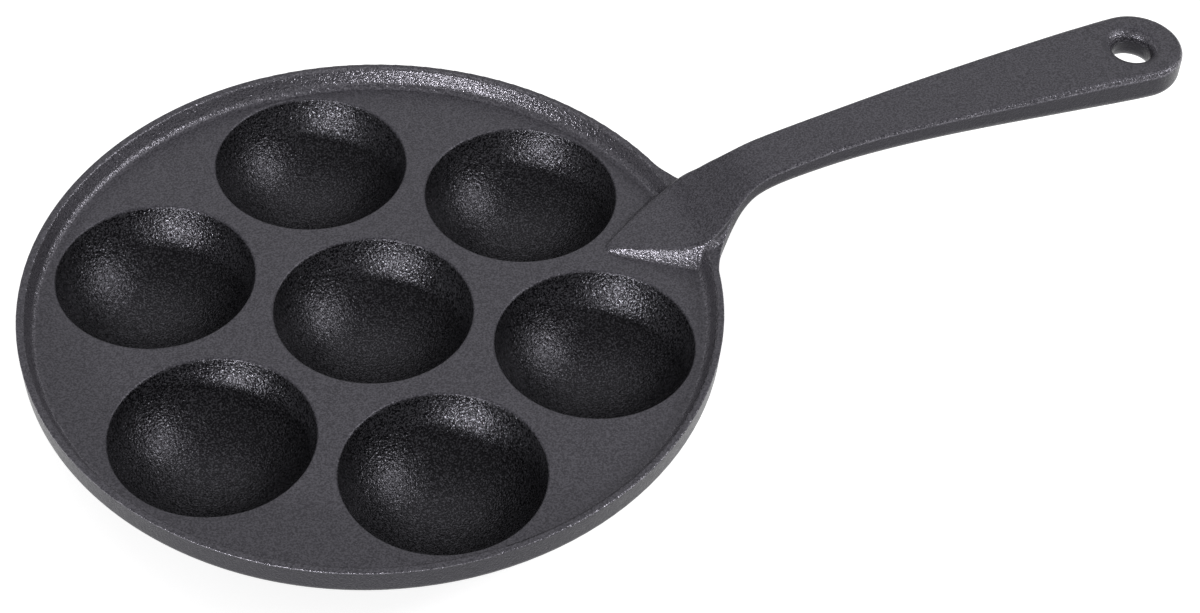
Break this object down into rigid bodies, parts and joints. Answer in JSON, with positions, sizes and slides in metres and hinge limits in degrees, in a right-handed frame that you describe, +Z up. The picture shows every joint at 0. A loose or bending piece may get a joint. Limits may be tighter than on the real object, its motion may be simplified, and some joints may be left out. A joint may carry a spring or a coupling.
{
  "type": "aebleskiver pan",
  "caption": "Round cast-iron pan with a raised rim, round-bottomed wells in its plate for baking dough balls, and a rising straight handle with a hanging hole.",
  "frame": {"origin": "centre of the middle well's flat foot, on the plane that the seven feet stand on, under the pan's axis", "axes": "+X along the handle, towards its free end; +Z up"},
  "size_m": [0.4124, 0.2306, 0.0639],
  "materials": {
    "seasoned_iron": "matte black, oil-seasoned sand casting with a fine grain"
  },
  "bodies": {
    "root": {"deck": "seasoned_iron", "rim": "seasoned_iron", "well_centre": "seasoned_iron", "well_1": "seasoned_iron", "well_2": "seasoned_iron", "well_3": "seasoned_iron", "well_4": "seasoned_iron", "well_5": "seasoned_iron", "well_6": "seasoned_iron", "handle_root": "seasoned_iron", "handle_grip": "seasoned_iron", "handle_eye": "seasoned_iron"}
  },
  "joints": []
}
